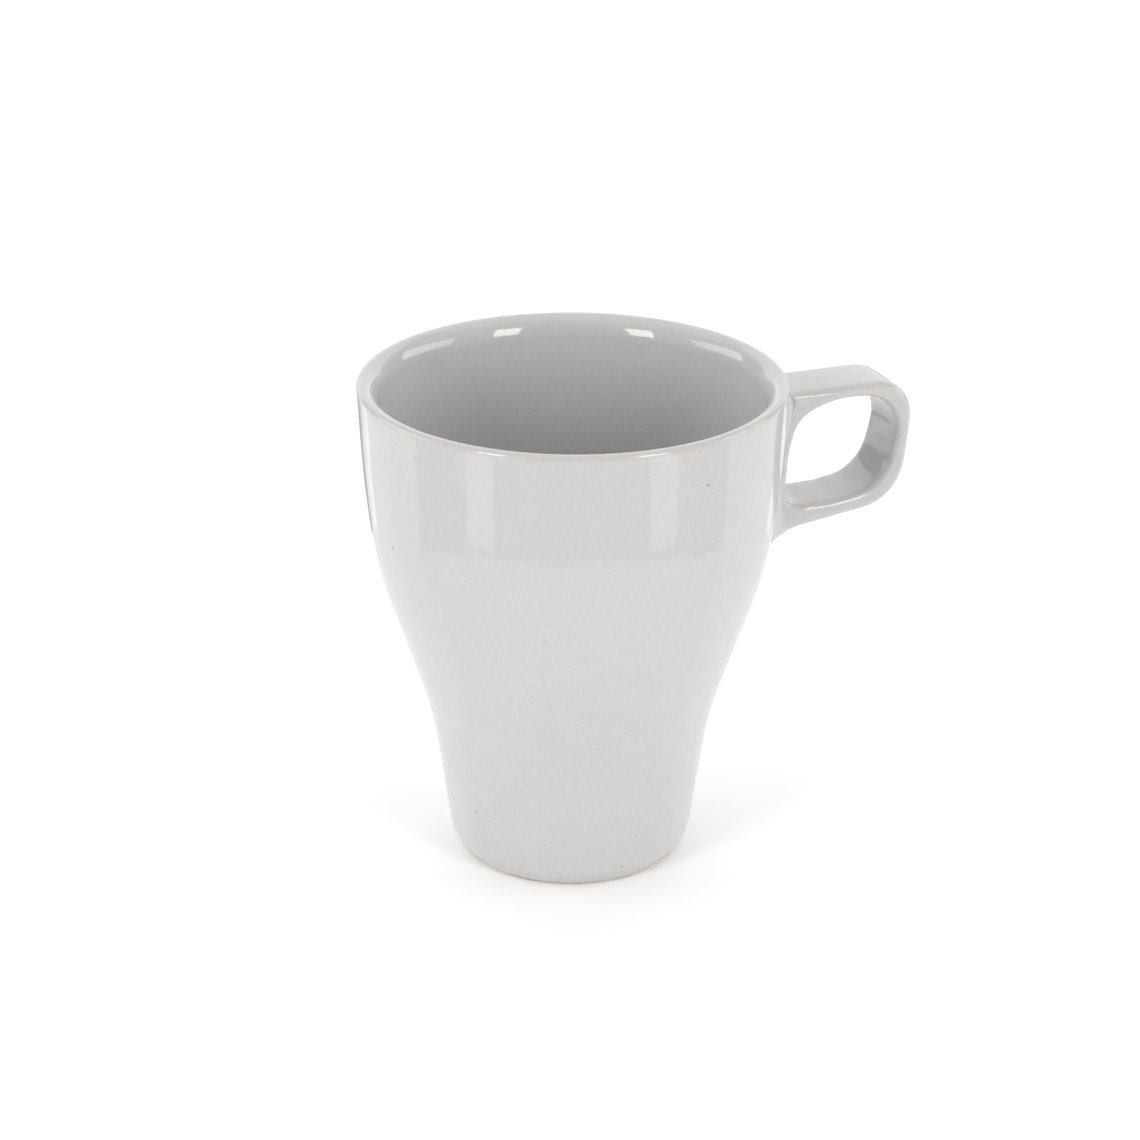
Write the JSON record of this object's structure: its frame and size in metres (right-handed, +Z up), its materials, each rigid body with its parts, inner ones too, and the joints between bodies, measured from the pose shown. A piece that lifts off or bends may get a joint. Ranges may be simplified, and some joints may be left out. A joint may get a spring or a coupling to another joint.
{
  "type": "ceramic mug",
  "caption": "White glazed stoneware mug: tall flared cup, waisted towards a small foot, with a rounded ring handle set high on its side.",
  "frame": {"origin": "on the table plane under the mug, at the middle of its length and width; the cup's own axis is at x = -14.6 mm", "axes": "+Z up out of the cup's mouth, +X from the cup towards its handle, Y across the mug"},
  "size_m": [0.1136, 0.0844, 0.1],
  "materials": {
    "stoneware": "matte",
    "fired_slip": "matte",
    "white_glaze": "gloss"
  },
  "bodies": {
    "root": {"cup": "stoneware", "handle": "stoneware", "luting_slip": "fired_slip", "outside_glaze": "white_glaze", "inside_glaze": "white_glaze", "handle_glaze": "white_glaze", "base_glaze": "white_glaze"}
  },
  "joints": []
}
